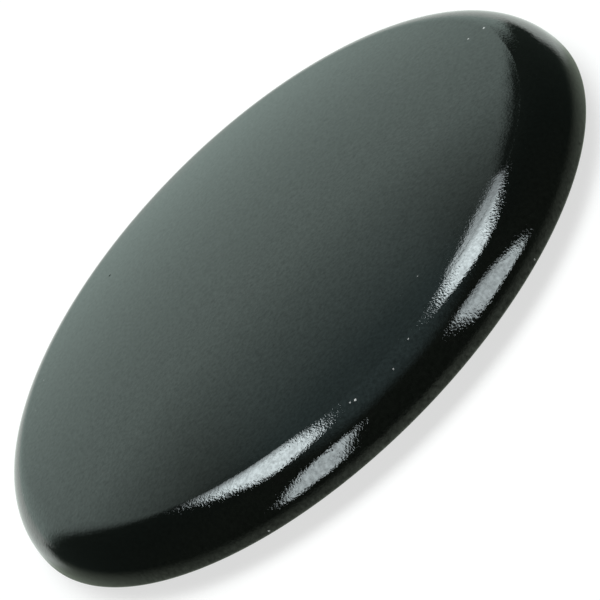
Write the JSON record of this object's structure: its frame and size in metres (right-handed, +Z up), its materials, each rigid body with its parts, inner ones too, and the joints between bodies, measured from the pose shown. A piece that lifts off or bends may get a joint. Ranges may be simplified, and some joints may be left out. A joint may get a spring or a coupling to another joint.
{
  "type": "gas burner cap",
  "caption": "Round gas burner cap: gloss black enamelled lid with a shallow dome, rolled shoulder, flat seat and a locating ring underneath.",
  "frame": {"origin": "middle of the locating ring's foot, on the surface that the cap rests on", "axes": "+Z up through the dome, the axis of the round cap; X and Y are any two directions across it"},
  "size_m": [0.055, 0.055, 0.008],
  "materials": {
    "black_enamel": "gloss black vitreous enamel with fine orange peel over cast metal"
  },
  "bodies": {
    "root": {"burner_cap": "black_enamel"}
  },
  "joints": []
}
